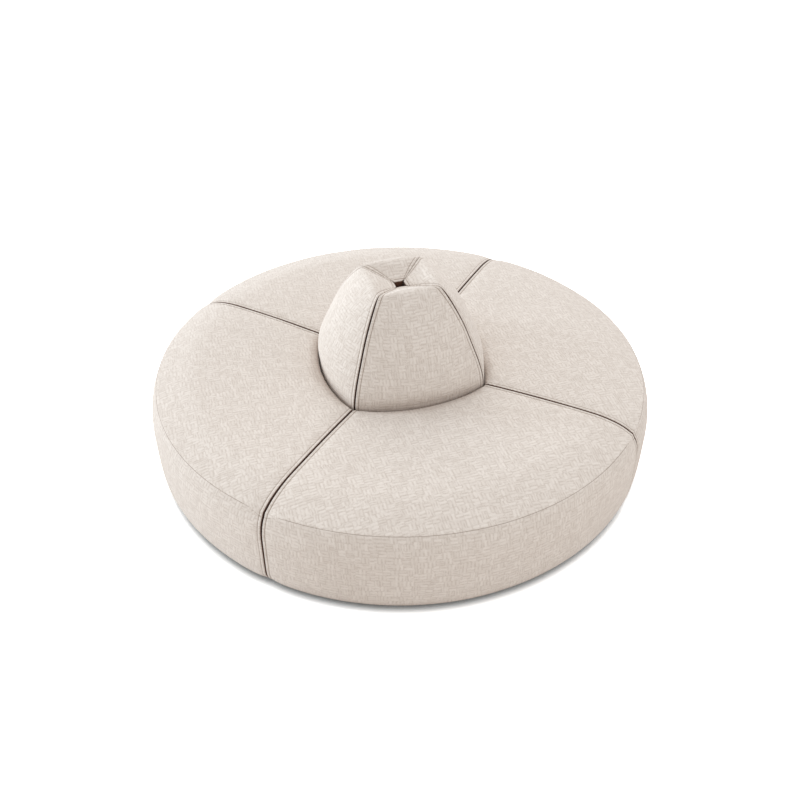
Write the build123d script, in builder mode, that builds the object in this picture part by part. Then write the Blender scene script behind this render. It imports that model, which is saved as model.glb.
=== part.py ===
from build123d import *
from math import atan2, cos, radians, sin, sqrt, tan
import os

# Round island sofa: four upholstered quarter-circle modules about a square hole for a parasol pole.
# Origin on the floor at the centre, +Z up, the front module towards -Y. Millimetres and degrees.
# Each piece is drawn once, with its module's middle line along +X, and turned to the four places.

# The island
module_turns = {"front": -90, "right": 0, "rear": 90, "left": 180}
half_sector = 180 / len(module_turns)
module_gap = 8
pole_hole = 43

# Seat outline: the crown, the seam at its outer edge and the band below it
outer_radius = 1070
crown_height = 411.5
crest_setback = 210
crown_bend_radius = 6160
seam_setback = 30
seam_drop = 35.5
band_widest_height = 255
skirt_height = 94
foot_setback = 37
ground_clearance = 12

# Upholstery
cover_thickness = 4
hem_width = 38
roll_bevel = 6
corner_bevel = 12
soft_gap = 0.3
side_pad_thickness = 8
edge_facets = 24
front_facets = 16
core_facets = 8

# Seat frame
ply_thickness = 15
rim_thickness = 12
rim_setback = 48
deck_height = 230
post_depth = 20
slat_thickness = 16
slat_width = 60
slat_spacing = 20
cross_rail_place = 335
bearer_spacing = 330
cutout_length = 190
cutout_height = 90
cutout_corner = 25
cutout_setbacks = (570, 330)
drain_length = 120
drain_width = 14
drain_setback = 370
drain_turns = (-30, 0, 30)

# Floor glides
glide_side = 50
glide_bevel = 4
outer_glide_setback = 120
outer_glide_turns = (-34, 0, 34)
inner_glide_radius = 190

# Back block: height, corner place and bulge at its sections, from the seat up to the ridge
back_corner_radius = 405
back_line_drop = 15.5
back_ridge_height = 803
back_dish_height = 763
ridge_overlap = 1
back_neck_setback = 8
nest_clearance = 3
back_height_shares = (0, 0.2, 0.42, 0.64, 0.84, 1)
back_corner_shares = (1, 0.925, 0.83, 0.719, 0.583, 0.454)
back_bulge_shares = (0.234, 0.297, 0.293, 0.277, 0.21, 0.02)

# Back frame
back_foam_thickness = 45
back_top_foam = 28
lath_thickness = 10
lath_count = 3
lath_height = 48
former_cutout_radius = 190
former_cutout_height = 430
former_cutout_width = 100
former_cutout_rise = 190
bracket_radii = (130, 250)
bracket_leg = 40
bracket_width = 30
bracket_thickness = 3

# Overrun of cuts, and of forms that are trimmed afterwards
overrun = 40

# Worked out from the sizes above
slope = tan(radians(half_sector))
crest_radius = outer_radius - crest_setback
seam_radius = outer_radius - seam_setback
seam_height = crown_height - seam_drop
foot_radius = outer_radius - foot_setback
falloff_radius = ((seam_radius - crest_radius) ** 2 + seam_drop**2) / (2 * seam_drop)
band_bend_radius = (seam_setback**2 + (seam_height - band_widest_height) ** 2) / (2 * seam_setback)
skirt_bend_radius = (foot_setback**2 + (skirt_height - ground_clearance) ** 2) / (2 * foot_setback)
base_bottom = ground_clearance + cover_thickness
base_top = base_bottom + ply_thickness
slat_bottom = deck_height - slat_thickness
foam_inset = cover_thickness + soft_gap
frame_inset = foam_inset + side_pad_thickness + soft_gap
board_inset = frame_inset + ply_thickness
post_end = pole_hole / 2 + frame_inset + post_depth
frame_radius = outer_radius - rim_setback
rim_inner_radius = frame_radius - rim_thickness
board_height = slat_bottom - base_top
far_reach = outer_radius + overrun
back_line_height = crown_height - back_line_drop
back_rise = back_ridge_height - back_line_height
back_base_x = back_corner_radius * cos(radians(half_sector))
ridge_x = back_base_x * back_corner_shares[-1] * (1 + back_bulge_shares[-1])


def radial_plane(turn):
    """Upright plane through the middle axis, its X pointing outwards at this turn."""
    outward = (cos(radians(turn)), sin(radians(turn)), 0)
    return Plane(origin=(0, 0, 0), x_dir=outward, z_dir=(outward[1], -outward[0], 0))


def half_width(x, inset):
    """Half the width of a module at x, with its side walls drawn in by inset."""
    return x * slope - (module_gap / 2 + inset) / cos(radians(half_sector))


def wall_corner_width(inset):
    """Half the width where a side wall, drawn in by inset, meets the outer circle."""
    wall = module_gap / 2 + inset
    along = sqrt((outer_radius - inset) ** 2 - wall**2)
    return along * sin(radians(half_sector)) - wall * cos(radians(half_sector))


def wedge(height, inset, start=pole_hole / 2):
    """Plan of a module between its side walls, outwards from start, drawn in by inset."""
    near = start + inset
    with BuildSketch(Plane.XY.offset(height), mode=Mode.PRIVATE) as plan:
        with BuildLine():
            Polyline(
                (near, -half_width(near, inset)),
                (far_reach, -half_width(far_reach, inset)),
                (far_reach, half_width(far_reach, inset)),
                (near, half_width(near, inset)),
                close=True,
            )
        make_face()
    return plan.sketch


def sector(height, inset, radius):
    """Plan of a module within a circle, drawn in by inset at its straight sides."""
    with BuildSketch(Plane.XY.offset(height), mode=Mode.PRIVATE) as plan:
        Circle(radius)
        add(wedge(height, inset), mode=Mode.INTERSECT)
    return plan.sketch


def faceted(rings):
    """Solid with flat facets through rings of points, each ring with the same number of points."""
    faces = [Face(Wire.make_polygon(rings[0])), Face(Wire.make_polygon(rings[-1]))]
    for lower, upper in zip(rings, rings[1:]):
        for point, next_point, above, next_above in zip(lower, lower[1:] + lower[:1], upper, upper[1:] + upper[:1]):
            faces.append(Face(Wire.make_polygon([point, next_point, next_above])))
            faces.append(Face(Wire.make_polygon([point, next_above, above])))
    return Solid(Shell(faces))


def crown_at(radius):
    """Height of the seat's crown at a radius inside the seam."""
    bend = crown_bend_radius if radius < crest_radius else falloff_radius
    return crown_height - bend + sqrt(bend**2 - (crest_radius - radius) ** 2)


def band_at(height):
    """Radius of the seat's outer band at a height below the seam."""
    if height > band_widest_height:
        bend, climb = band_bend_radius, height - band_widest_height
    else:
        bend, climb = skirt_bend_radius, skirt_height - height
    return outer_radius - bend + sqrt(bend**2 - climb**2)


def back_stations():
    """Height, corner place and bulge of the back block at each of its sections."""
    for height, corner, bulge in zip(back_height_shares, back_corner_shares, back_bulge_shares):
        corner_x = back_base_x * corner
        yield back_line_height + back_rise * height, corner_x, corner_x * bulge


def bulged_plan(height, setback=0):
    """Plan of the back block's base, its bulged front run on past both side walls."""
    _, corner_x, bulge = next(back_stations())
    bend = (corner_x**2 + bulge**2) / (2 * bulge)
    centre = corner_x + bulge - bend - setback
    side = corner_x + overrun
    side_x = centre + sqrt(bend**2 - side**2)
    with BuildSketch(Plane.XY.offset(height), mode=Mode.PRIVATE) as plan:
        with BuildLine():
            ThreePointArc((side_x, -side), (centre + bend, 0), (side_x, side))
            Polyline((side_x, side), (-overrun, side), (-overrun, -side), (side_x, -side))
        make_face()
    return plan.sketch


def back_outline(height, corner_x, bulge, side_inset=0, setback=0, bevel=0, facets=core_facets):
    """Points round a section of the back block: hole end, side walls, front corners and bulged front."""
    bend = (corner_x**2 + bulge**2) / (2 * bulge)
    centre = corner_x + bulge - bend - setback
    near = pole_hole / 2 + side_inset
    wall = -half_width(0, side_inset)
    reach = centre + slope * wall
    spread = 1 + slope**2
    wall_x = (reach + sqrt(reach**2 - spread * (centre**2 + wall**2 - bend**2))) / spread
    turn = atan2(half_width(wall_x, side_inset), wall_x - centre) - bevel / bend
    front = [turn * (2 * facet / facets - 1) for facet in range(facets + 1)]
    corner_x = wall_x - bevel * cos(radians(half_sector))
    corners = [(corner_x, half_width(corner_x, side_inset))] if bevel else []
    side = [(near, half_width(near, side_inset))] + corners
    points = [(x, -y) for x, y in side] + [(centre + bend * cos(turn), bend * sin(turn)) for turn in front]
    return [(x, y, height) for x, y in points + side[::-1]]


def nest_plan(height, growth=0):
    """Plan of the nest that the seat leaves for the back block, grown by growth."""
    return bulged_plan(height, back_neck_setback - nest_clearance - growth)


def dish_plane(inset):
    """Sloping plane of the back block's top, down from the ridge to the pole hole."""
    fall = back_ridge_height - ridge_overlap - back_dish_height
    return Plane(origin=(pole_hole / 2, 0, back_dish_height - inset), z_dir=(-fall, 0, ridge_x - pole_hole / 2))


def ridge_plane(bevel):
    """Plane that bevels the ridge between the back block's front and its top."""
    lower, upper = list(back_stations())[-2:]
    fronts = [corner_x + bulge for _, corner_x, bulge in (lower, upper)]
    front_normal = Vector(upper[0] - lower[0], 0, fronts[0] - fronts[1]).normalized()
    origin = (ridge_x, 0, back_ridge_height - ridge_overlap - bevel / 2)
    return Plane(origin=origin, z_dir=front_normal + dish_plane(0).z_dir)


def seat_profile(inset, roll=0, corner=0):
    """Radius, height and depth of bevel round the seat's section, from the back block out and down to the foot.

    The section is drawn in by inset all round, and by roll at the crown and foot and corner at the band.
    """
    falloff_middle = (crest_radius + seam_radius) / 2
    band_middle = (band_widest_height + seam_height) / 2
    skirt_middle = (ground_clearance + skirt_height) / 2
    crown = [(radius, crown_at(radius)) for radius in (back_base_x, crest_radius, falloff_middle)]
    band = [(outer_radius, band_widest_height), (outer_radius, skirt_height)]
    band = [(band_at(band_middle), band_middle)] + band + [(band_at(skirt_middle), skirt_middle)]
    return (
        [(radius, height - inset - roll, roll_bevel) for radius, height in crown]
        + [(seam_radius - inset - corner, seam_height - inset - roll, corner_bevel)]
        + [(radius - inset - corner, height, corner_bevel) for radius, height in band]
        + [(foot_radius - inset - corner, ground_clearance + inset + roll, roll_bevel)]
    )


def seat_form(inset, facets):
    """Form of the seat, drawn in by inset, with its edges bevelled and its round edge cut in flat facets."""
    near = pole_hole / 2 + inset
    foot, top = ground_clearance + inset, crown_at(back_base_x) - inset
    wall = half_width(near, inset)
    inner = half_width(near, inset + roll_bevel)

    def wall_ring(side, profile, inner_y, drop, depth_share):
        points = [(near, side * inner_y, foot + drop), (near, side * inner_y, top - drop)]
        for radius, height, depth in profile:
            across = module_gap / 2 + inset + depth * depth_share
            along = sqrt(radius**2 - across**2)
            x = along * cos(radians(half_sector)) + across * sin(radians(half_sector))
            y = along * sin(radians(half_sector)) - across * cos(radians(half_sector))
            points.append((x, side * y, height))
        return points

    drawn_in = seat_profile(inset, roll_bevel, corner_bevel)
    full = seat_profile(inset)
    rings = [wall_ring(-1, drawn_in, wall, roll_bevel, 0), wall_ring(-1, full, inner, 0, 1)]
    for facet in range(1, facets):
        share = 2 * facet / facets - 1
        turn = radians(half_sector * share)
        points = [(near, inner * share, foot), (near, inner * share, top)]
        rings.append(points + [(radius * cos(turn), radius * sin(turn), height) for radius, height, _ in full])
    rings += [wall_ring(1, full, inner, 0, 1), wall_ring(1, drawn_in, wall, roll_bevel, 0)]
    with BuildPart(mode=Mode.PRIVATE) as form:
        add(faceted(rings))
        extrude(nest_plan(deck_height, inset), amount=crown_height, mode=Mode.SUBTRACT)
    return form.part


def back_form(side_inset=0, front_inset=0, top_inset=0, neck_setback=0, bevel=0, step=1, facets=core_facets):
    """Form of the back block, drawn in at its sides, front and top, through every step-th section."""
    stations = list(back_stations())
    chosen = stations[:-1:step] + stations[-1:]
    neck = back_outline(*stations[0], side_inset, front_inset + neck_setback, bevel, facets)
    with BuildPart(mode=Mode.PRIVATE) as form:
        add(faceted([back_outline(*station, side_inset, front_inset, bevel, facets) for station in chosen]))
        split(bisect_by=dish_plane(top_inset), keep=Keep.BOTTOM)
        if bevel:
            split(bisect_by=ridge_plane(bevel), keep=Keep.BOTTOM)
        add(faceted([[(x, y, height) for x, y, _ in neck] for height in (deck_height, back_line_height)]))
    return form.part


# Floor glides, face to face with the base
with BuildPart() as glides:
    outer_places = [(outer_radius - outer_glide_setback, turn) for turn in outer_glide_turns]
    for radius, turn in [(inner_glide_radius, 0)] + outer_places:
        with PolarLocations(radius, 1, start_angle=turn):
            Box(glide_side, glide_side, base_bottom, align=(Align.CENTER, Align.CENTER, Align.MIN))
    chamfer(glides.edges().group_by(Axis.Z)[0], length=glide_bevel)

# Plywood base with its drain slots
with BuildPart() as base_panel:
    with BuildSketch(Plane.XY.offset(base_bottom)):
        add(sector(base_bottom, frame_inset, frame_radius))
        for turn in drain_turns:
            with PolarLocations(outer_radius - drain_setback, 1, start_angle=turn):
                Rectangle(drain_width, drain_length, mode=Mode.SUBTRACT)
    extrude(amount=ply_thickness)

# Bent plywood rim under the curved edge
with BuildPart() as outer_rim:
    with BuildSketch(Plane.XY.offset(base_top)):
        add(sector(base_top, frame_inset, frame_radius))
        Circle(rim_inner_radius, mode=Mode.SUBTRACT)
    extrude(amount=board_height)

# Boards along the gaps
with BuildPart() as side_boards:
    with BuildSketch(Plane.XY.offset(base_top)):
        add(sector(base_top, frame_inset, rim_inner_radius))
        add(wedge(base_top, board_inset, start=post_end - board_inset), mode=Mode.SUBTRACT)
        Rectangle(post_end, post_end, align=(Align.MIN, Align.CENTER), mode=Mode.SUBTRACT)
    extrude(amount=board_height)

# Post at the pole hole, cross rail and bearers with their cut-outs
with BuildPart() as bearers:
    with BuildSketch(Plane.XY.offset(base_top)) as post:
        Rectangle(post_end, post_end, align=(Align.MIN, Align.CENTER))
        add(wedge(base_top, frame_inset), mode=Mode.INTERSECT)
    extrude(amount=board_height)
    with BuildSketch(Plane.XY.offset(base_top)) as boards:
        with Locations((cross_rail_place, 0)):
            Rectangle(ply_thickness, far_reach, align=(Align.MIN, Align.CENTER))
        for place in (-bearer_spacing, 0, bearer_spacing):
            with Locations((cross_rail_place + ply_thickness, place)):
                Rectangle(far_reach, ply_thickness, align=(Align.MIN, Align.CENTER))
        add(sector(base_top, board_inset, rim_inner_radius), mode=Mode.INTERSECT)
    extrude(amount=board_height)
    with BuildSketch(Plane.XZ) as cutouts:
        middle = (base_top + slat_bottom) / 2
        with Locations(*[(outer_radius - setback, middle) for setback in cutout_setbacks]):
            Rectangle(cutout_length, cutout_height)
        chamfer(cutouts.vertices(), length=cutout_corner)
    extrude(amount=far_reach, both=True, mode=Mode.SUBTRACT)

# Board that carries the back block
with BuildPart() as back_board:
    with BuildSketch(Plane.XY.offset(slat_bottom)):
        add(bulged_plan(slat_bottom))
        add(wedge(slat_bottom, frame_inset), mode=Mode.INTERSECT)
    extrude(amount=slat_thickness)

# Deck of slats, each trimmed to the quarter ring between the back board and the rim
with BuildPart() as deck_slats:
    pitch = slat_width + slat_spacing
    with BuildSketch(Plane.XY.offset(slat_bottom)):
        place = frame_radius - slat_width / 2
        while place > back_base_x:
            with Locations((place, 0)):
                Rectangle(slat_width, 2 * far_reach)
            place -= pitch
        add(sector(slat_bottom, frame_inset, frame_radius), mode=Mode.INTERSECT)
        add(bulged_plan(slat_bottom, -slat_spacing), mode=Mode.SUBTRACT)
    extrude(amount=slat_thickness)

# Foam wrap round the frame
with BuildPart() as side_padding:
    add(seat_form(foam_inset, core_facets))
    split(bisect_by=Plane.XY.offset(deck_height), keep=Keep.BOTTOM)
    hollow = sector(0, frame_inset - soft_gap, frame_radius + soft_gap)
    extrude(hollow, amount=crown_height, mode=Mode.SUBTRACT)

# Crowned seat foam on the deck
with BuildPart() as seat_foam:
    add(seat_form(foam_inset, core_facets))
    split(bisect_by=Plane.XY.offset(deck_height + soft_gap), keep=Keep.TOP)

# Seat cover: crowned, bevelled along the gaps, with a nest for the back block, open under the base
with BuildPart() as seat_cover:
    add(seat_form(0, edge_facets))
    add(seat_form(cover_thickness, core_facets), mode=Mode.SUBTRACT)
    opening = sector(0, hem_width, foot_radius - hem_width)
    extrude(opening, amount=base_top, mode=Mode.SUBTRACT)

# Back frame: two side formers and the post at the pole hole
with BuildPart() as back_frame:
    add(back_form(frame_inset, back_foam_thickness + lath_thickness, back_top_foam, step=2))
    with BuildSketch(Plane.XY):
        add(wedge(0, board_inset, start=post_end - board_inset))
    extrude(amount=back_ridge_height, mode=Mode.SUBTRACT)
    with BuildSketch(Plane.XY):
        with Locations((post_end, 0)):
            Rectangle(soft_gap, far_reach, align=(Align.MIN, Align.CENTER))
    extrude(amount=back_ridge_height, mode=Mode.SUBTRACT)
    for turn in (-half_sector, half_sector):
        with BuildSketch(radial_plane(turn)) as cutout:
            with Locations((former_cutout_radius, former_cutout_height)):
                Rectangle(former_cutout_width, former_cutout_rise)
            chamfer(cutout.vertices(), length=cutout_corner)
        extrude(amount=board_inset + overrun, both=True, mode=Mode.SUBTRACT)

# Bent laths across the formers
with BuildPart() as back_laths:
    add(back_form(frame_inset, back_foam_thickness, back_top_foam, step=2))
    behind = back_form(frame_inset, back_foam_thickness + lath_thickness, back_top_foam, step=2)
    add(behind, mode=Mode.SUBTRACT)
    lath_rise = back_dish_height - back_top_foam - lath_height - deck_height
    with BuildSketch(Plane.YZ):
        for lath in range(lath_count):
            with Locations((0, deck_height + lath_rise * lath / (lath_count - 1))):
                Rectangle(far_reach, lath_height, align=(Align.CENTER, Align.MIN))
    extrude(amount=far_reach, mode=Mode.INTERSECT)

# Angle brackets that hold the formers to the board
with BuildPart() as angle_brackets:
    for side in (-1, 1):
        outward = Vector(cos(radians(half_sector)), side * sin(radians(half_sector)), 0)
        inward = Vector(sin(radians(half_sector)), -side * cos(radians(half_sector)), 0)
        for radius in bracket_radii:
            foot = outward * radius + inward * (module_gap / 2 + board_inset)
            heel = Plane(origin=(foot.X, foot.Y, deck_height), x_dir=inward, z_dir=outward * -side)
            with BuildSketch(heel):
                Rectangle(bracket_leg, bracket_thickness, align=Align.MIN)
                Rectangle(bracket_thickness, bracket_leg, align=Align.MIN)
            extrude(amount=-side * bracket_width)

# Foam of the back block round its frame
with BuildPart() as back_foam:
    add(back_form(foam_inset, foam_inset, foam_inset, back_neck_setback))
    hollow = (frame_inset - soft_gap, back_foam_thickness - soft_gap, back_top_foam - soft_gap)
    add(back_form(*hollow, step=2), mode=Mode.SUBTRACT)

# Back cover: bulged front, dished top, bevelled edges and a narrower neck behind the seat
with BuildPart() as back_cover:
    add(back_form(neck_setback=back_neck_setback, bevel=roll_bevel, facets=front_facets))
    insides = (cover_thickness, cover_thickness, cover_thickness)
    add(back_form(*insides, back_neck_setback), mode=Mode.SUBTRACT)

pieces = {
    "glides": glides,
    "base_panel": base_panel,
    "outer_rim": outer_rim,
    "side_boards": side_boards,
    "bearers": bearers,
    "back_board": back_board,
    "deck_slats": deck_slats,
    "side_padding": side_padding,
    "seat_foam": seat_foam,
    "seat_cover": seat_cover,
    "back_frame": back_frame,
    "back_laths": back_laths,
    "angle_brackets": angle_brackets,
    "back_foam": back_foam,
    "back_cover": back_cover,
}
os.makedirs("parts", exist_ok=True)
for module, turn in module_turns.items():
    for name, piece in pieces.items():
        with BuildPart() as placed:
            add(piece.part, rotation=(0, 0, turn))
        placed.part.label = f"{module}_{name}"
        export_step(placed.part, f"parts/{module}_{name}.step")
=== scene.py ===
"""Round island sofa: four upholstered quarter-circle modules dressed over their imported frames."""
from math import acos, ceil, cos, pi, radians, sin, sqrt, tan

import bmesh
import bpy
import numpy as np
from bpy.props import FloatProperty, FloatVectorProperty, IntProperty, PointerProperty
from mathutils import Matrix, Vector, noise
from mathutils.geometry import delaunay_2d_cdt


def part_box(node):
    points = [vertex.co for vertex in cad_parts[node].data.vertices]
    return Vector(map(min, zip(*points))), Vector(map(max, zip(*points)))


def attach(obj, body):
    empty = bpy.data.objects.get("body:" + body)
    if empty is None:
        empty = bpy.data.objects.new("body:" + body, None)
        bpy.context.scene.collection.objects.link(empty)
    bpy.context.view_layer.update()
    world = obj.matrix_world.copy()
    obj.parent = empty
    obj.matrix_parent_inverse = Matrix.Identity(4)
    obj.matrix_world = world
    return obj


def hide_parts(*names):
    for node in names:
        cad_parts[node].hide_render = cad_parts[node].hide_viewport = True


bl_info = {
    "name": "Island sofa",
    "version": (1, 0, 0),
    "blender": (4, 5, 0),
    "location": "View3D > Sidebar > Island sofa",
    "description": "Cushions, frame finishes and studio for a round island sofa in four modules",
    "category": "Add Mesh",
}

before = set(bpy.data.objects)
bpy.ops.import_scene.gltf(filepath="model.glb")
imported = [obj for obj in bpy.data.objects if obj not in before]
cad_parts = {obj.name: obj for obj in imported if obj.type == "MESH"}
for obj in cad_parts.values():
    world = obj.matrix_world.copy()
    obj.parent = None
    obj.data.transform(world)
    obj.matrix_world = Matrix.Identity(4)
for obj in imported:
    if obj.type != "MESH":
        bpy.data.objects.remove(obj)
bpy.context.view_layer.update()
SEAT_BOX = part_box("right_seat_cover")
BACK_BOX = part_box("right_back_cover")

# Turn of each module's middle line from +X, in degrees
MODULE_TURNS = {"front": -90, "right": 0, "rear": 90, "left": 180}
HALF_SECTOR = pi / len(MODULE_TURNS)
WALL_COS, WALL_SIN, WALL_SLOPE = cos(HALF_SECTOR), sin(HALF_SECTOR), tan(HALF_SECTOR)

WOOD_NODES = ("base_panel", "outer_rim", "side_boards", "bearers", "back_board", "back_frame", "back_laths")

# Arc centre of a row that runs straight from wall to wall
STRAIGHT = -50
# Distance at which a row still counts as on the hole's wall
ON_WALL = 1e-4
# Largest turn between two rows of a fillet
FILLET_STEP = radians(22)
# Half width of a row from which its rolled edges have their full depth
FULL_EDGE_WIDTH = 0.09
# Size of the side walls' faces against the face size, and their least distance from the outline
WALL_STEP, WALL_MARGIN = 1.3, 0.004
# Value of the painted gap shade down in the pole hole, where shade falls, and the distance from the pole
# within which its top is
HOLE_SHADE_DEPTH, HOLE_REACH = 0.015, 0.03
# Radius of the foot's roll
FOOT_ROLL = 0.008
# Share of the front's height above which the ridge's roll sets its form
ROLL_SHARE = 0.9
# Frames of the cloth simulation
STUFFING_FRAMES = 20
# Height of the small unevenness of each cushion, and how many of its waves go into a metre
UNEVENNESS, UNEVEN_WAVES = 0.0012, 5


def length(label, words, metres):
    """Size in metres that a user can change."""
    return FloatProperty(
        name=label, description=words, default=metres, min=0, subtype="DISTANCE", unit="LENGTH"
    )


def share(label, words, value, top=1.0):
    """Plain number that a user can change."""
    return FloatProperty(name=label, description=words, default=value, min=0, max=top, subtype="FACTOR")


def angle(label, words, degrees):
    """Angle that a user can change."""
    return FloatProperty(name=label, description=words, default=radians(degrees), subtype="ANGLE")


def colour(label, words, value):
    """Colour that a user can change."""
    return FloatVectorProperty(
        name=label, description=words, default=value, min=0, max=1, size=3, subtype="COLOR"
    )


def direction(label, words, value):
    """Direction that a user can change."""
    return FloatVectorProperty(name=label, description=words, default=value, subtype="DIRECTION")


class ModuleSizes(bpy.types.PropertyGroup):
    """Sizes that the seat and the back of a module share."""
    gap: length("Gap", "Gap between two modules", 0.0065)
    pole_hole: length("Pole hole", "Side of the square hole for a parasol pole", 2 * SEAT_BOX[0].x)
    roll_radius: length("Roll radius", "Radius of the rolled edge along the gaps", 0.005)
    seam_inset: length("Seam inset", "Distance from the gap to the seam beside it", 0.0125)
    seam_width: length("Seam width", "Width of a seam's groove", 0.0032)
    seam_depth: length("Seam depth", "Depth of a seam's groove", 0.0028)
    panel_columns: IntProperty(
        name="Panel columns", description="Columns of faces across a panel", default=56, min=8
    )
    face_size: length("Face size", "Longest side of a face along a section", 0.02)
    pressure: share("Pressure", "Pressure of the stuffing in the cloth simulation", 4, 20)


class SeatSizes(bpy.types.PropertyGroup):
    """Sizes of the seat cushion."""
    outer_radius: length("Outer radius", "Widest radius of the island", SEAT_BOX[1].x)
    crown_height: length("Crown height", "Height of the seat's crown", SEAT_BOX[1].z)
    crest_setback: length("Crest setback", "Distance of the crown's crest from the outer radius", 0.21)
    crown_bend: length("Crown bend", "Bend radius of the crown towards the back block", 6.16)
    seam_setback: length("Seam setback", "Distance of the edge seam from the outer radius", 0.03)
    seam_drop: length("Seam drop", "Distance of the edge seam below the crown", 0.0355)
    widest_height: length("Widest height", "Height where the band is widest", 0.255)
    skirt_height: length("Skirt height", "Height where the band starts to draw in", 0.094)
    foot_setback: length("Foot setback", "Distance of the foot from the outer radius", 0.031)
    clearance: length("Clearance", "Height of the cushion's underside", SEAT_BOX[0].z)
    nest_floor: length("Nest floor", "Height of the floor under the back block", 0.2295)
    nest_setback: length("Nest setback", "Distance of the nest's wall behind the back block's front", 0.02)
    nest_roll: length("Nest roll", "Radius of the seat's edge at the tuck line", 0.016)
    hem_width: length("Hem width", "Width of the hem round the base panel", 0.038)
    hem_depth: length("Hem depth", "Height that the hem turns up inside", 0.0195)
    corner_sag: length("Corner sag", "Sag of the top outer corners beside the gaps", 0.007)
    seam_dip: length("Seam dip", "How far the edge seam dips beside the gaps", 0.02)
    foot_sag: length("Foot sag", "Rounding of the foot's corners beside the gaps", 0.008)
    puff: length("Puff", "Furthest that the stuffing lifts a panel", 0.004)


class BackSizes(bpy.types.PropertyGroup):
    """Sizes of the back cushion."""
    corner_radius: length("Corner radius", "Radius of the block's front corners at the seat", 0.405)
    line_height: length("Line height", "Height of the tuck line at the seat", 0.396)
    ridge_height: length("Ridge height", "Height of the ridge", 0.815)
    dish_height: length("Dish height", "Height of the pole hole's edge", 0.763)
    dish_hollow: share("Dish hollow", "How much steeper the dish gets towards the ridge", 1.15, 3)
    base_height: length("Base height", "Height of the block's underside", BACK_BOX[0].z + 0.001)
    neck_setback: length("Neck setback", "Distance of the neck behind the front", 0.024)
    curl_height: length("Curl height", "Height over which the front curls in to the tuck line", 0.14)
    ridge_roll: length("Ridge roll", "Radius of the ridge's curl", 0.024)
    hole_roll: length("Hole roll", "Radius of the pole hole's edge", 0.003)
    rim_width: length("Rim width", "Width of the sewn rim round the pole hole", 0.011)
    corner_sag: length("Corner sag", "Sag of the ridge's ends beside the gaps", 0.008)
    top_closing: share("Top closing", "Share of the gap that the top of the block closes", 0.85)
    puff: length("Puff", "Furthest that the stuffing lifts a panel", 0.005)


class FabricLooks(bpy.types.PropertyGroup):
    """Weave and colours of the cover fabric."""
    ground: colour("Ground", "Colour between the weave's raised bars", (0.50, 0.425, 0.365))
    bar: colour("Bar", "Colour of the weave's raised bars", (0.80, 0.733, 0.672))
    ground_share: share("Ground share", "How strongly the ground shows between the bars", 0.52)
    tone_share: share("Tone share", "How much some bars darken to the ground", 0.17)
    thread_share: share("Thread share", "How much the fine threads darken to the ground", 0.14)
    # Painted shade: seams and the panel beside them darken towards this brown
    seam: colour("Seam", "Colour down in the seams", (0.20, 0.13, 0.085))
    seam_shade_share: share("Seam share", "How strongly the seams take their colour", 0.72)
    # Painted shade: dark brown band down in the gaps and the pole hole, where shade falls
    painted_gap_shade: colour(
        "Lining", "Colour of the lining tape inside the gaps and the pole hole", (0.14, 0.06, 0.032)
    )
    gap_shade_width: length("Lining width", "Width of the lining tape", 0.028)
    # Painted shade: the fabric darkens towards this brown in creases, by ambient occlusion
    crease_shade: colour("Crease", "Colour of the fabric deep in creases", (0.26, 0.165, 0.11))
    crease_shade_share: share("Crease share", "How strongly creases take their colour", 0.37)
    crease_shade_reach: length("Crease reach", "Distance over which a crease darkens the fabric", 0.07)
    cell: length("Cell", "Size of a cell of like bars in the weave", 0.0285)
    thread: length("Thread", "Distance between fine threads", 0.0016)
    relief: length("Relief", "Height of a raised bar", 0.0006)


class TimberLooks(bpy.types.PropertyGroup):
    """Colours of the frame inside."""
    plywood: colour("Plywood", "Colour of the plywood's faces", (0.56, 0.39, 0.23))
    plywood_dark: colour("Plywood figure", "Colour of the plywood's darker figure", (0.40, 0.25, 0.13))
    pine: colour("Pine", "Colour of the pine slats", (0.66, 0.46, 0.25))
    pine_dark: colour("Pine rings", "Colour of the pine's late wood", (0.46, 0.27, 0.12))
    zinc: colour("Zinc", "Colour of the zinc plated brackets", (0.55, 0.56, 0.57))
    glide: colour("Glide", "Colour of the plastic glides", (0.03, 0.027, 0.024))


class StudioSettings(bpy.types.PropertyGroup):
    """Camera, floor and light."""
    camera_place: FloatVectorProperty(
        name="Camera place",
        description="Place of the camera",
        default=(-0.929, -2.995, 2.608),
        subtype="XYZ",
        unit="LENGTH",
    )
    camera_turn: angle("Camera turn", "Turn of the view about the upright", -17.24)
    camera_pitch: angle("Camera pitch", "Pitch of the view below level", 37.97)
    lens: FloatProperty(
        name="Lens", description="Focal length for a 36 mm wide frame", default=39.73, unit="CAMERA"
    )
    floor_size: length("Floor size", "Side of the floor", 60)
    floor: colour("Floor", "Colour of the floor", (0.93, 0.93, 0.93))
    shade_tint: colour("Shade tint", "Tint of the floor in the contact shadow", (0.935, 0.98, 1.0))
    bounce: colour("Bounce", "Colour of the light that the floor gives back", (0.80, 0.745, 0.70))
    glow: share("Glow", "How much brighter than its colour the floor is seen", 2.3, 10)
    contact: length("Contact", "Reach of the shadow where the sofa nears the floor", 0.045)
    contact_glow: share("Contact glow", "What is left of the glow in that shadow", 0.43, 10)
    sky: share("Sky", "Strength of the even light from all round", 0.85, 10)
    key: share("Key", "Strength of the main light", 2.03, 100)
    rim: share("Rim", "Strength of the light from behind", 0.86, 100)
    fill: share("Fill", "Strength of the light from the right", 0.3, 100)
    key_turn: direction("Key turn", "Direction of the main light", (-0.85, 0.5, 0.07))
    rim_turn: direction("Rim turn", "Direction of the light from behind", (0.1, 0.78, 0.58))
    fill_turn: direction("Fill turn", "Direction of the light from the right", (0.8, -0.4, 0.35))
    key_tint: colour("Key tint", "Colour of the main light", (0.8, 0.91, 1.0))
    key_spread: angle("Key spread", "Spread of the main light", 16)
    soft_spread: angle("Soft spread", "Spread of the other two lights", 45)


def settings(name):
    """Settings of this kind in the scene."""
    return getattr(bpy.context.scene, "island_" + name)


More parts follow.
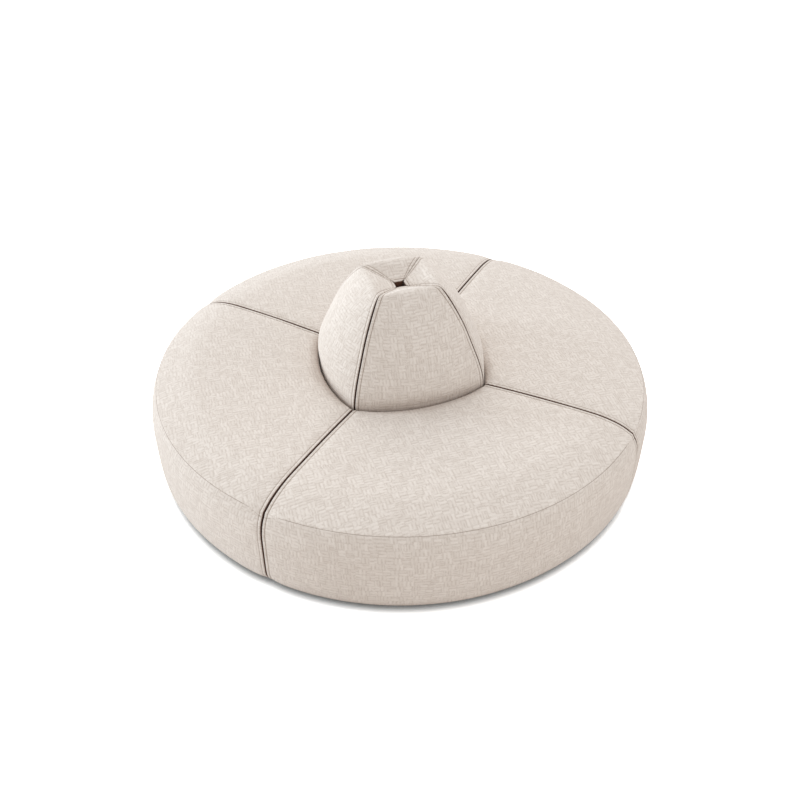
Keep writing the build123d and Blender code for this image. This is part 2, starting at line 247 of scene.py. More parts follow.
def deselect():
    """Nothing selected and nothing in edit mode."""
    if bpy.context.object and bpy.context.object.mode != "OBJECT":
        bpy.ops.object.mode_set(mode="OBJECT")
    bpy.ops.object.select_all(action="DESELECT")


def half_width(x, depth):
    """Half the width of a module at x, at a depth inside its side walls."""
    return x * WALL_SLOPE - (settings("module").gap / 2 + depth) / WALL_COS


def along_wall(x, y):
    """Distance of a point from the pole, measured along the gap beside it."""
    return x * WALL_COS + abs(y) * WALL_SIN


def off_gap(x, y):
    """Distance of a point from the middle of the gap beside it."""
    return x * WALL_SIN - abs(y) * WALL_COS


def arc_radius(run, rise):
    """Radius of an arc that leaves its tangent by rise over run."""
    return (run**2 + rise**2) / (2 * rise)


def on_arc(top, bend, run):
    """Height on an arc of this radius, at a distance run from its top."""
    return top - bend + sqrt(bend**2 - run**2)


def ease(part):
    """Share from 0 to 1 that starts and ends gently."""
    return part * part * (3 - 2 * part)


def through(places, values, place):
    """Value on a smooth curve through values at places."""
    last = len(places) - 2
    part = next((i for i in range(last) if place <= places[i + 1]), last)
    left, right = places[part], places[part + 1]
    slopes = np.gradient(np.array(values), np.array(places))
    span = right - left
    at = (place - left) / span
    rise = values[part + 1] - values[part]
    pull = at * (1 - at) ** 2 * slopes[part] - at * at * (1 - at) * slopes[part + 1]
    return values[part] + rise * ease(at) + span * pull


def back_front(height):
    """Middle, arc centre and corner of the block's front, at a share of its height above the tuck line."""
    heights = (0, 0.2, 0.42, 0.64, 0.84, 1)
    corners = (1.04, 0.938, 0.83, 0.719, 0.583, 0.454)
    bulges = (0.215, 0.29, 0.293, 0.277, 0.21, 0.02)
    corner_x = settings("back").corner_radius * WALL_COS * through(heights, corners, height)
    bulge = corner_x * through(heights, bulges, height)
    middle = corner_x + bulge
    return middle, middle - arc_radius(corner_x, bulge), corner_x


def bulged_rows(near, far, far_centre, low, high, shares, hollow=1):
    """Corners of a section between a straight row at near and an arched one at far, at shares of the way."""
    reach = far - far_centre
    corner = (far_centre + sqrt(2 * reach**2 - far_centre**2)) / 2
    rows = []
    for part in shares:
        x = near + (far - near) * part
        bulge = (far - corner) * part
        rows.append((x, low + (high - low) * part**hollow, x - arc_radius(x - bulge, bulge), 0, 0))
    return rows


def section(corners):
    """Rows of a section through corners of (x, z, centre of the row's arc, share of crown, fillet radius)."""
    rows = []
    for place, (x, z, centre, crown, fillet) in enumerate(corners):
        point = np.array((x, z))
        if not fillet:
            rows.append((x, z, centre, crown))
            continue
        before = np.array(corners[place - 1][:2]) - point
        after = np.array(corners[place + 1][:2]) - point
        room = min(np.linalg.norm(before), np.linalg.norm(after)) / 2
        before, after = before / np.linalg.norm(before), after / np.linalg.norm(after)
        turn = pi - acos(float(np.clip(before @ after, -1, 1)))
        reach = min(fillet * tan(turn / 2), room)
        middle = (before + after) / np.linalg.norm(before + after)
        hub = point + middle * reach / sin(turn / 2)
        start, end = point + before * reach - hub, point + after * reach - hub
        parts = max(2, ceil(turn / FILLET_STEP))
        for part in range(parts + 1):
            weight = part / parts
            spoke = (sin((1 - weight) * turn) * start + sin(weight * turn) * end) / sin(turn)
            rows.append((*(hub + spoke), centre, crown))
    step = settings("module").face_size
    filled = [rows[0]]
    for row in rows[1:]:
        last = np.array(filled[-1])
        parts = max(1, ceil(np.linalg.norm(np.array(row[:2]) - last[:2]) / step))
        filled += [tuple(last + (np.array(row) - last) * part / parts) for part in range(1, parts + 1)]
    return np.array(filled)


def section_run(rows):
    """Distance of each row from the first, along the section."""
    return np.concatenate(([0], np.cumsum(np.linalg.norm(np.diff(rows[:, :2], axis=0), axis=1))))


def nearest_row(rows, x, z):
    """Number of the row nearest to a point of the section."""
    return int(np.argmin(np.hypot(rows[:, 0] - x, rows[:, 1] - z)))


def free_points(run, seam, first, last):
    """Rows of the section that the stuffing may lift, clear of the seam between them."""
    reach = 2.2 * settings("module").seam_width
    return [row for row in range(first, last) if abs(run[row] - seam) > reach]


def edge_columns():
    """Columns from a side wall over its roll and seam to the panel.

    Each is (depth inside the wall, drop below the panel, depth on the flat cloth, share of a seam's depth).
    """
    module = settings("module")
    radius, seam, groove = module.roll_radius, module.seam_inset, module.seam_width / 2
    columns = []
    for turn in np.linspace(0, pi / 2, 5):
        on_cloth = radius - radius * (pi / 2 - turn)
        columns.append((radius * (1 - cos(turn)), radius * (1 - sin(turn)), on_cloth, 0))
    for depth, sunk in (
        (seam - groove, 0.2),
        (seam, 1),
        (seam + groove, 0.55),
        (seam + 3 * groove, 0.32),
        (2 * seam, 0.1),
        (3 * seam, 0),
    ):
        columns.append((depth, 0, depth, sunk))
    return columns


def block_grid(rows, half_gaps, seams, soft_corners, crown_at=None):
    """Points of a block's cover, their places on the flat cloth, their shares of a seam, and the rows' run.

    Each row is an arc between the side walls. Columns beside the walls have a fixed depth and roll over into
    them. Seams are (run, dip beside the gaps, reach of the dip), and soft corners are (run, reach along the
    section, reach across it, sag).
    """
    module = settings("module")
    edge = edge_columns()
    panel = module.panel_columns
    columns = len(edge) * 2 + panel - 1
    grid = np.zeros((columns, len(rows), 3))
    flat = np.zeros((columns, len(rows), 2))
    drop = np.zeros((columns, len(rows)))
    seam = np.zeros((columns, len(rows)))
    depths = np.zeros((columns, len(rows)))
    for place, (x, z, centre, crown) in enumerate(rows):
        bend = x - centre
        squeeze = min(1, half_width(x, 0) / FULL_EDGE_WIDTH)

        def angle_at(depth):
            wall = (half_gaps[place] + depth * squeeze) / WALL_COS
            reach, spread = centre + WALL_SLOPE * wall, 1 + WALL_SLOPE**2
            wall_x = (reach + sqrt(reach**2 - spread * (centre**2 + wall**2 - bend**2))) / spread
            return np.arctan2(wall_x * WALL_SLOPE - wall, wall_x - centre)

        last = angle_at(edge[-1][0])
        for column in range(columns):
            side = -1 if column < columns / 2 else 1
            near = min(column, columns - 1 - column)
            if near < len(edge):
                depth, sunk, on_cloth, groove = edge[near]
                turn, cloth_turn = side * angle_at(depth), side * angle_at(on_cloth)
                drop[column, place] = sunk * squeeze
                seam[column, place] = groove
                depths[column, place] = depth * squeeze
            else:
                turn = cloth_turn = last * (2 * (column - len(edge) + 1) / panel - 1)
            point = (centre + bend * cos(turn), bend * sin(turn))
            height = z
            if crown:
                height += crown * (crown_at(sqrt(point[0] ** 2 + point[1] ** 2)) - crown_at(x))
            grid[column, place] = (*point, height)
            flat[column, place] = (centre + bend * cos(cloth_turn), bend * sin(cloth_turn))
    run = section_run(rows)
    depth = off_gap(grid[:, :, 0], grid[:, :, 1]) - half_gaps
    # A seam's groove falls to a third of its depth at half its width
    for where, dip, reach in seams:
        away = np.abs(run - where - dip * np.exp(-((depth / reach) ** 2))) / module.seam_width
        seam = np.maximum(seam, np.exp(-4 * away**2))
    across, along = np.gradient(grid, axis=0), np.gradient(grid, axis=1)
    normals = np.cross(along, across)
    blur = np.exp(-(((run[:, None] - run[None, :]) / module.seam_inset) ** 2)) * np.gradient(run)[None, :]
    normals = np.einsum("ij,cjk->cik", blur, normals / np.linalg.norm(normals, axis=2, keepdims=True))
    normals /= np.linalg.norm(normals, axis=2, keepdims=True)
    inward = drop + seam * module.seam_depth
    grid -= normals * inward[:, :, None]
    for where, along_reach, across_reach, sag in soft_corners:
        sink = sag * np.exp(-(((run - where) / along_reach)[None, :] ** 2) - (depth / across_reach) ** 2)
        grid -= sink[:, :, None] * normals[:, [int(np.argmin(np.abs(run - where)))]]
    for column in (*range(len(edge)), *range(columns - len(edge), columns)):
        side = -1 if column < columns / 2 else 1
        wall = np.array((WALL_SIN, -side * WALL_COS, 0))
        off = grid[column] @ wall - (half_gaps + depths[column])
        grid[column] -= off[:, None] * wall
    return grid, flat, seam, run


def inside(edge, x, z):
    """Whether a point lies inside an outline."""
    after = np.roll(edge, -1, axis=0)
    crosses = (edge[:, 1] > z) != (after[:, 1] > z)
    rise = np.where(crosses, after[:, 1] - edge[:, 1], 1)
    crossing = edge[:, 0] + (z - edge[:, 1]) * (after[:, 0] - edge[:, 0]) / rise
    return bool(np.count_nonzero(crosses & (x < crossing)) % 2)


def edge_distance(edge, point):
    """Distance of a point from an outline."""
    run = np.roll(edge, -1, axis=0) - edge
    length_squared = np.maximum((run**2).sum(axis=1), 1e-12)
    share_along = np.clip(((np.array(point) - edge) * run).sum(axis=1) / length_squared, 0, 1)
    return float(np.linalg.norm(edge + run * share_along[:, None] - point, axis=1).min())


def wall_points(edge):
    """Points of an even grid inside a wall's outline, clear of its edge."""
    step = WALL_STEP * settings("module").face_size
    (left, low), (right, high) = edge.min(axis=0), edge.max(axis=0)
    return [
        (x, z)
        for x in np.arange(left + step / 2, right, step).tolist()
        for z in np.arange(low + step / 2, high, step).tolist()
        if inside(edge, x, z) and edge_distance(edge, (x, z)) > WALL_MARGIN
    ]


def wall_faces(mesh, ring, side, cut, painted_gap_shade):
    """Even triangles over the side wall inside a ring of points, with its cloth laid along the gap."""
    edge = np.array([(along_wall(vert.co.x, vert.co.y), vert.co.z) for vert in ring])
    depths = np.array([off_gap(vert.co.x, vert.co.y) for vert in ring])
    inner = wall_points(edge)
    _, _, faces, sources, *_ = delaunay_2d_cdt(
        [Vector(point) for point in (*edge.tolist(), *inner)], [], [list(range(len(edge)))], 1, 1e-7
    )
    if not all(sources):
        raise ValueError("the outline of a side wall crosses itself")
    verts = [*ring]
    for along, height in inner:
        nearest = np.argsort(np.hypot(edge[:, 0] - along, edge[:, 1] - height))[:4]
        depth = depths[nearest].mean()
        x = along * WALL_COS + depth * WALL_SIN
        y = side * (along * WALL_SIN - depth * WALL_COS)
        vert = mesh.verts.new((x, y, height))
        # Depth of each wall point, for the painted gap shade
        vert[painted_gap_shade] = edge_distance(edge, (along, height))
        verts.append(vert)
    for face in faces:
        for loop in mesh.faces.new([verts[sources[index][0]] for index in face]).loops:
            x, y, z = loop.vert.co
            loop[cut].uv = (along_wall(x, y), z + 1)


def hem_rings(mesh, ring, columns, floor, hem):
    """Rings of points where the hem turns up round the base panel, and where it ends.

    The hem is (width, depth, outer radius of its opening). The opening ends in a point near the pole.
    """
    width, depth, outer = hem
    tip = 0.001 - half_width(0, width) / WALL_SLOPE
    inset = settings("module").gap / 2 + width
    along = sqrt(outer**2 - inset**2)
    corner_x, corner_y = (along + inset) / sqrt(2), (along - inset) / sqrt(2)
    rings = []
    for height in (floor, floor + depth):
        lip = []
        for vert in ring[:columns]:
            x, y = vert.co.x, vert.co.y
            reach = sqrt(x**2 + y**2)
            x, y = x * outer / reach, y * outer / reach
            if abs(y) > corner_y:
                x, y = corner_x, corner_y * (1 if y > 0 else -1)
            lip.append(mesh.verts.new((x, y, height)))
        lip += [mesh.verts.new((tip, 0, height))] * (len(ring) - columns)
        rings.append(lip)
    return rings


def block_mesh(name, rows, half_gaps, seams, soft_corners, plan_rows, gap_shade_depths, hem=None, crown_at=None):
    """Closed mesh of a block and its grid's size, with its cloth as UV and seams and painted gap shade as
    attributes.

    Cloth between the plan rows lies as seen from above, and the rest is unrolled. Gap shade depths are the
    depths of the painted shade on the edges of the side walls and beside them, for each row.
    """
    grid, flat, seam, run = block_grid(rows, half_gaps, seams, soft_corners, crown_at)
    columns, count = grid.shape[:2]
    wall_shade_depth, roll_shade_depth = gap_shade_depths
    floor = rows[0][1]
    grid[:, 0, 2] = grid[:, -1, 2] = floor
    mesh = bmesh.new()
    cut = mesh.loops.layers.uv.new("fabric")
    painted_gap_shade = mesh.verts.layers.float.new("painted_gap_shade")
    sewn = mesh.verts.layers.float.new("seam")
    points = [[mesh.verts.new(grid[column, row]) for row in range(count)] for column in range(columns)]
    bends = rows[:, 0] - rows[:, 2]

    def on_cut(column, row, plan):
        x, y = flat[column, row]
        if plan:
            return (x, y)
        return (np.arctan2(y, x - rows[row, 2]) * bends[row], 2 - run[row])

    for column in range(columns - 1):
        for row in range(count - 1):
            corners = ((column, row), (column, row + 1), (column + 1, row + 1), (column + 1, row))
            face = mesh.faces.new([points[i][j] for i, j in corners])
            for loop, (i, j) in zip(face.loops, corners):
                loop[cut].uv = on_cut(i, j, plan_rows[0] <= row < plan_rows[1])
    hole_top = rows[rows[:, 0] < HOLE_REACH, 1].max()
    hole_end = settings("module").pole_hole / 2 + ON_WALL
    for column in range(columns):
        for row in range(count):
            points[column][row][sewn] = seam[column, row]
            # The pole hole's walls take the painted shade below its top
            if rows[row, 0] < hole_end:
                points[column][row][painted_gap_shade] = min(HOLE_SHADE_DEPTH, max(0, hole_top - rows[row, 1]))
    for column, beside, side in ((0, 1, -1), (columns - 1, columns - 2, 1)):
        for row in range(count):
            points[column][row][painted_gap_shade] = wall_shade_depth[row]
            points[beside][row][painted_gap_shade] = roll_shade_depth[row]
        wall_faces(mesh, points[column][::side], side, cut, painted_gap_shade)
    rings = [[line[-1] for line in points] + [line[0] for line in reversed(points)]]
    if hem:
        rings += hem_rings(mesh, rings[0], columns, floor, hem)
    under = []
    for lower, upper in zip(rings, rings[1:]):
        for place in range(len(lower)):
            after = (place + 1) % len(lower)
            quad = list(dict.fromkeys((lower[place], lower[after], upper[after], upper[place])))
            if len(quad) > 2:
                under.append(mesh.faces.new(quad))
    under.append(mesh.faces.new(list(dict.fromkeys(rings[-1]))))
    for face in under:
        for loop in face.loops:
            loop[cut].uv = loop.vert.co.xy
    bmesh.ops.remove_doubles(mesh, verts=mesh.verts, dist=1e-6)
    bmesh.ops.recalc_face_normals(mesh, faces=mesh.faces)
    bmesh.ops.triangulate(mesh, faces=[face for face in mesh.faces if len(face.verts) > 4])
    data = bpy.data.meshes.new(name)
    mesh.to_mesh(data)
    mesh.free()
    block = bpy.data.objects.new(name, data)
    bpy.context.scene.collection.objects.link(block)
    return block, (columns, count)


def coordinates(vertices, kind="co"):
    """Array of the places of vertices, or of their normals."""
    values = np.zeros(len(vertices) * 3, np.float32)
    vertices.foreach_get(kind, values)
    return values.reshape(-1, 3)


def stuff(block, grid_size, free_rows, puff):
    """Swells the block's panels by a short cloth simulation, held at its seams, rolls, nest and underside."""
    columns, count = grid_size
    vertices = block.data.vertices
    edge = len(edge_columns()) - 2
    held = np.ones(len(vertices), bool)
    for column in range(edge, columns - edge):
        held[column * count + np.array(free_rows)] = False
    group = block.vertex_groups.new(name="held")
    group.add([int(index) for index in np.flatnonzero(held)], 1.0, "REPLACE")
    cloth = block.modifiers.new("Stuffing", "CLOTH")
    cloth.settings.use_pressure = True
    cloth.settings.uniform_pressure_force = settings("module").pressure
    cloth.settings.vertex_group_mass = "held"
    cloth.settings.effector_weights.gravity = 0
    cloth.settings.quality = 6
    cloth.settings.mass = 0.4
    cloth.point_cache.frame_start, cloth.point_cache.frame_end = 1, STUFFING_FRAMES
    for step in range(1, STUFFING_FRAMES + 1):
        bpy.context.scene.frame_set(step)
    swollen = block.evaluated_get(bpy.context.evaluated_depsgraph_get()).data
    start = coordinates(vertices)
    move = coordinates(swollen.vertices) - start
    size = np.linalg.norm(move, axis=1, keepdims=True)
    move *= np.where(size > 1e-9, puff * np.tanh(size / puff) / np.maximum(size, 1e-9), 0)
    block.modifiers.remove(cloth)
    block.vertex_groups.clear()
    vertices.foreach_set("co", (start + move).astype(np.float32).ravel())
    bpy.context.scene.frame_set(1)
    deselect()
    bpy.context.view_layer.objects.active = block
    block.select_set(True)
    smooth = block.modifiers.new("Smooth", "SUBSURF")
    smooth.levels = smooth.render_levels = 1
    bpy.ops.object.modifier_apply(modifier=smooth.name)
    bpy.ops.object.shade_smooth()


def place_copy(block, module, name):
    """Copy of a block with its own mesh and its own small unevenness, turned to its module's place."""
    copy = bpy.data.objects.new(f"{module}_{name}", block.data.copy())
    bpy.context.scene.collection.objects.link(copy)
    data = copy.data
    seed = Vector((list(MODULE_TURNS).index(module) * 7.3, 1.7, 4.1))  # each module's own part of the noise
    places, normals = coordinates(data.vertices), coordinates(data.vertices, "normal")
    lift = np.array([noise.noise(Vector(place) * UNEVEN_WAVES + seed) for place in places.tolist()])
    places = places + normals * (lift * UNEVENNESS)[:, None]
    data.vertices.foreach_set("co", places.astype(np.float32).ravel())
    data.transform(Matrix.Rotation(radians(MODULE_TURNS[module]), 4, "Z"))
    data.update()
    data.materials.clear()
    data.materials.append(fabric())
    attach(copy, f"{module}_module")
    return copy


class ISLAND_OT_seats(bpy.types.Operator):
    """Makes the four seat cushions"""
    bl_idname = "island.seats"
    bl_label = "Seat cushions"

    def execute(self, context):
        shared, size = settings("module"), settings("seat")
        near, groove = shared.pole_hole / 2, shared.seam_width / 2
        crest = size.outer_radius - size.crest_setback
        foot = size.outer_radius - size.foot_setback
        seam_radius, seam_height = size.outer_radius - size.seam_setback, size.crown_height - size.seam_drop
        falloff = arc_radius(seam_radius - crest, size.seam_drop)
        band_bend = arc_radius(seam_height - size.widest_height, size.seam_setback)
        skirt_bend = arc_radius(size.skirt_height - size.clearance, size.foot_setback)
        nest_x, nest_centre, _ = (part - size.nest_setback for part in back_front(0))

        def crown_at(radius):
            return on_arc(size.crown_height, size.crown_bend if radius < crest else falloff, crest - radius)

        # Up the pole hole's wall, over the nest's floor and up its wall to the tuck line
        floor = size.nest_floor
        corners = [
            (near, size.clearance, STRAIGHT, 0, 0),
            (near, floor, STRAIGHT, 0, 0.006),
            *bulged_rows(near, nest_x, nest_centre, floor, floor, np.linspace(0.1, 0.95, 12)),
            (nest_x, floor, nest_centre, 0, 0.004),
            (nest_x, crown_at(nest_x), nest_centre, 1, size.nest_roll),
        ]
        # Over the crown, where the rows change from the nest's arc to full circles, and down to the seam
        change = 0.25
        for x in np.linspace(nest_x + 2.2 * size.nest_roll, crest, 26):
            blend = ease(min(1, (x - nest_x) / change))
            corners.append((x, crown_at(x), nest_centre * (1 - blend), 1, 0))
        before_seam = seam_radius - np.array((3, 1)) * groove
        for x in (*np.linspace(crest, seam_radius - 0.012, 10)[1:], *before_seam):
            corners.append((x, crown_at(x), 0, 0, 0))
        corners.append((seam_radius, seam_height, 0, 0, 0))
        # Down the band, with close rows where the seam dips, and in along the skirt to the foot
        dip = np.linspace(seam_height - groove, seam_height - 0.03, 14)
        for z in (*dip, *np.linspace(seam_height - 0.042, size.widest_height, 6)):
            corners.append((on_arc(size.outer_radius, band_bend, z - size.widest_height), z, 0, 0, 0))
        for z in np.linspace(size.skirt_height, size.clearance + FOOT_ROLL, 7):
            corners.append((on_arc(size.outer_radius, skirt_bend, size.skirt_height - z), z, 0, 0, 0))
        sole = foot - 0.015
        corners += [(foot, size.clearance, 0, 0, FOOT_ROLL), (sole, size.clearance, 0, 0, 0)]

        rows = section(corners)
        run = section_run(rows)
        at_seam = nearest_row(rows, seam_radius, seam_height)
        at_foot = nearest_row(rows, foot, size.clearance)
        at_nest = int(np.argmax(rows[:, 3] > 0))
        radius = np.full(len(rows), shared.roll_radius)
        seat, grid_size = block_mesh(
            "seat_pattern",
            rows,
            half_gaps=np.full(len(rows), shared.gap / 2),
            seams=[(run[at_seam], size.seam_dip, 0.045)],
            soft_corners=[
                (run[at_seam], 0.035, 0.05, size.corner_sag),
                (run[at_foot], 0.035, 0.03, size.foot_sag),
            ],
            plan_rows=(at_nest, at_seam),
            gap_shade_depths=(radius, radius / 2),
            hem=(size.hem_width, size.hem_depth, foot - size.hem_width),
            crown_at=crown_at,
        )
        # The first rows of the tuck line and the last ones at the foot stay held
        free = free_points(run, run[at_seam], at_nest + 3, len(rows) - 8)
        stuff(seat, grid_size, free, size.puff)
        for module in MODULE_TURNS:
            cushion = place_copy(seat, module, "seat_cushion")
            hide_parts(f"{module}_seat_cover", f"{module}_seat_foam", f"{module}_side_padding")
        bpy.data.objects.remove(seat)
        return {"FINISHED"}


class ISLAND_OT_backs(bpy.types.Operator):
    """Makes the four back cushions"""
    bl_idname = "island.backs"
    bl_label = "Back cushions"

    def execute(self, context):
        shared, size = settings("module"), settings("back")
        near, groove = shared.pole_hole / 2, shared.seam_width / 2
        ridge_x, ridge_centre, _ = back_front(1)
        base_x, base_centre, _ = back_front(0)
        rise = size.ridge_height - size.line_height
        curl, neck = size.curl_height / rise, size.neck_setback

        # Up the pole hole's wall, and over its sewn rim and the dish to the ridge
        rim = size.rim_width + np.array((-groove, 0, groove, 3 * groove))
        dish = (*(rim / (ridge_x - near)), *np.linspace(0.2, 0.46, 5))
        corners = [
            (near, size.base_height, STRAIGHT, 0, 0),
            (near, size.dish_height, STRAIGHT, 0, size.hole_roll),
            *bulged_rows(
                near, ridge_x, ridge_centre, size.dish_height, size.ridge_height, dish, size.dish_hollow
            ),
            (ridge_x, size.ridge_height, ridge_centre, 0, size.ridge_roll),
        ]
        # Down the front, with close rows where it curls in to the tuck line, and down the neck in the nest
        curl_parts = curl * (1 - np.sin(np.linspace(0.15, pi / 2, 9)))
        for part in (*np.linspace(ROLL_SHARE, curl, 19), *curl_parts):
            x, centre, _ = back_front(part)
            tuck = neck * max(0, 1 - part / curl) ** 2.2
            corners.append((x - tuck, size.line_height + rise * part, centre - tuck, 0, 0))
        corners += [
            (base_x - neck, size.line_height - 0.006, base_centre - neck, 0, 0),
            (base_x - neck, size.base_height, base_centre - neck, 0, 0),
        ]

        rows = section(corners)
        run = section_run(rows)
        hole = int(np.argmax(rows[:, 0] > near + ON_WALL))
        ridge = int(np.argmax(rows[:, 1]))
        at_rim = int(np.argmin(np.abs(rows[:ridge, 0] - near - size.rim_width)))
        # The ridge's roll takes the bulge that the front has at each height
        for row in rows[ridge:]:
            part = min(1, (row[1] - size.line_height) / rise)
            if part > ROLL_SHARE:
                middle, _, corner_x = back_front(part)
                bulge = middle - corner_x
                row[2] = row[0] - arc_radius(row[0] - bulge, bulge)
        # The gap closes over the dish and opens again over a short way down the front and at the hole
        front_reach, front_blend, hole_blend = 0.07, 0.1, 0.01
        closing = ease(np.clip((run[ridge] + front_reach - run) / front_blend, 0, 1))
        closing = closing * np.clip((run - run[hole]) / hole_blend, 0, 1)
        back, grid_size = block_mesh(
            "back_pattern",
            rows,
            half_gaps=np.full(len(rows), shared.gap / 2) * (1 - size.top_closing * closing),
            seams=[(run[at_rim], 0, 1)],
            soft_corners=[(run[ridge], 0.04, 0.045, size.corner_sag)],
            plan_rows=(hole, ridge),
            gap_shade_depths=(shared.roll_radius * (1 - closing), np.zeros(len(rows))),
        )
        line_end = int(np.argmin(np.abs(rows[:, 1] - size.line_height - 0.02)))
        free = free_points(run, run[at_rim], at_rim + 2, line_end)
        stuff(back, grid_size, free, size.puff)
        for module in MODULE_TURNS:
            cushion = place_copy(back, module, "back_cushion")
            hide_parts(f"{module}_back_cover", f"{module}_back_foam")
        bpy.data.objects.remove(back)
        return {"FINISHED"}


class Nodes:
    """Short way to add and join nodes of one material or group."""

    def __init__(self, tree):
        self.tree = tree

    def add(self, kind, values=(), **options):
        """New node with these options, and these values or links at its inputs."""
        node = self.tree.nodes.new(kind)
        for name, value in options.items():
            setattr(node, name, value)
        self.fill(node, values)
        return node

    def fill(self, node, values):
        """Sets or links a node's inputs, by name or number."""
        for name, value in dict(values).items():
            self.feed(node.inputs[name], value)

    def feed(self, socket, value):
        """Links a socket to another, or sets its value."""
        if isinstance(value, bpy.types.NodeSocket):
            self.tree.links.new(value, socket)
        else:
            socket.default_value = value

    def math(self, operation, *values):
        """Result of a sum on numbers."""
        return self.add("ShaderNodeMath", enumerate(values), operation=operation).outputs[0]

    def plus(self, first, second):
        """Sum of two numbers."""
        return self.math("ADD", first, second)

    def times(self, first, second):
        """Product of two numbers."""
        return self.math("MULTIPLY", first, second)

    def ramp(self, value, low, high, to_low=0.0, to_high=1.0, soft=True):
        """Value moved from one range to another, held at its ends."""
        ends = {"From Min": low, "From Max": high, "To Min": to_low, "To Max": to_high}
        kind = "SMOOTHSTEP" if soft else "LINEAR"
        return self.add("ShaderNodeMapRange", {"Value": value, **ends}, interpolation_type=kind).outputs[0]

    def mix(self, factor, first, second):
        """Colour between two colours."""
        values = {0: factor}
        for number, value in ((6, first), (7, second)):
            values[number] = value if isinstance(value, bpy.types.NodeSocket) else (*value, 1)
        return self.add("ShaderNodeMix", values, data_type="RGBA").outputs[2]

    def vector(self, operation, first, values):
        """Result of a sum on vectors."""
        return self.add("ShaderNodeVectorMath", {0: first, **values}, operation=operation).outputs[0]

    def clouds(self, vector, scale, **values):
        """Noise texture."""
        return self.add("ShaderNodeTexNoise", {"Vector": vector, "Scale": scale, **values})

    def bump(self, height, metres, strength):
        """Normal of a surface with this relief."""
        values = {"Height": height, "Distance": metres, "Strength": strength}
        return self.add("ShaderNodeBump", values).outputs[0]

    def place(self):
        """Object coordinates."""
        return self.add("ShaderNodeTexCoord").outputs["Object"]

    def nearness(self, reach):
        """Ambient occlusion within reach, from 0 where all is closed to 1 in the open."""
        return self.add("ShaderNodeAmbientOcclusion", {"Distance": reach}, samples=8).outputs["AO"]


def parquet_group():
    """Group for an irregular parquet of short woven bars, level in some cells and upright in others."""
    group = bpy.data.node_groups.get("Parquet weave")
    if group:
        return group
    group = bpy.data.node_groups.new("Parquet weave", "ShaderNodeTree")
    for label, kind in (("Cloth", "Vector"), ("Cell", "Float"), ("Thread", "Float")):
        group.interface.new_socket(label, in_out="INPUT", socket_type="NodeSocket" + kind)
    for label in ("Bars", "Tone", "Threads", "Slub"):
        group.interface.new_socket(label, in_out="OUTPUT", socket_type="NodeSocketFloat")
    nodes = Nodes(group)
    source = nodes.add("NodeGroupInput").outputs
    # How far the bars wander, in metres, and how many cells side by side share one shift
    wander, shift_cells = 0.006, 2.4
    # Shares of the cells that keep their lie, and that have two bars and not three
    steady_share, two_bar_share = 0.72, 0.7
    # Where a bar starts and has its full height, from its side and from its end, in parts of a cell
    side_start, side_full, end_full = 0.02, 0.19, 0.1
    # How far apart the tones of like bars in two cells are drawn
    tone_spread = 97.0

    def chance(value):
        return nodes.add("ShaderNodeTexWhiteNoise", {"W": value}, noise_dimensions="1D").outputs["Value"]

    def gap_to_whole(value):
        part = nodes.math("FRACT", value)
        return nodes.math("MINIMUM", part, nodes.math("SUBTRACT", 1.0, part))

    cloth = source["Cloth"]
    wobble = nodes.clouds(cloth, 45.0).outputs["Color"]
    shift = nodes.vector("SUBTRACT", wobble, {1: (0.5, 0.5, 0.5)})
    shifted = nodes.vector("ADD", cloth, {1: nodes.vector("SCALE", shift, {"Scale": wander})})
    split = nodes.add("ShaderNodeSeparateXYZ", {0: shifted}).outputs
    u, v = (nodes.math("DIVIDE", split[axis], source["Cell"]) for axis in (0, 1))
    v = nodes.plus(v, chance(nodes.math("FLOOR", nodes.math("DIVIDE", u, shift_cells))))
    row = nodes.math("FLOOR", v)
    u = nodes.plus(u, chance(row))
    column = nodes.math("FLOOR", u)
    place = nodes.add("ShaderNodeCombineXYZ", {0: column, 1: row}).outputs[0]
    pick = nodes.add("ShaderNodeTexWhiteNoise", {"Vector": place}, noise_dimensions="2D").outputs["Color"]
    picks = nodes.add("ShaderNodeSeparateColor", {0: pick}).outputs
    checker = nodes.math("PINGPONG", nodes.plus(column, row), 1.0)
    turned = nodes.math("GREATER_THAN", picks[0], steady_share)
    level = nodes.math("ABSOLUTE", nodes.math("SUBTRACT", checker, turned))
    upright = nodes.math("SUBTRACT", 1.0, level)
    count = nodes.plus(2.0, nodes.math("GREATER_THAN", picks[1], two_bar_share))
    layers = []
    for across, along, lie in ((v, u, level), (u, v, upright)):
        beside = nodes.math("DIVIDE", gap_to_whole(nodes.times(across, count)), count)
        ends = nodes.ramp(gap_to_whole(along), 0.0, end_full)
        layers.append(nodes.times(nodes.times(nodes.ramp(beside, side_start, side_full), ends), lie))
    across = nodes.plus(nodes.times(v, level), nodes.times(u, upright))
    bar_number = nodes.math("FLOOR", nodes.times(across, count))
    tone = chance(nodes.plus(nodes.times(picks[2], tone_spread), bar_number))
    wave_length = nodes.math("DIVIDE", source["Thread"], 2 * pi)
    waves = [nodes.math("SINE", nodes.math("DIVIDE", split[axis], wave_length)) for axis in (0, 1)]
    threads = nodes.ramp(nodes.times(*waves), -1.0, 1.0, soft=False)
    slub = nodes.clouds(cloth, 60.0, Detail=3.0, Roughness=0.6).outputs["Fac"]
    results = {"Bars": nodes.plus(*layers), "Tone": tone, "Threads": threads, "Slub": slub}
    nodes.add("NodeGroupOutput", results)
    return group


def new_material(name, kind="ShaderNodeBsdfPrincipled"):
    """Material with nothing but a shader, its nodes and that shader."""
    material = bpy.data.materials.new(name)
    material.use_nodes = True
    material.node_tree.nodes.clear()
    nodes = Nodes(material.node_tree)
    shader = nodes.add(kind)
    nodes.add("ShaderNodeOutputMaterial", {"Surface": shader.outputs[0]})
    return material, nodes, shader


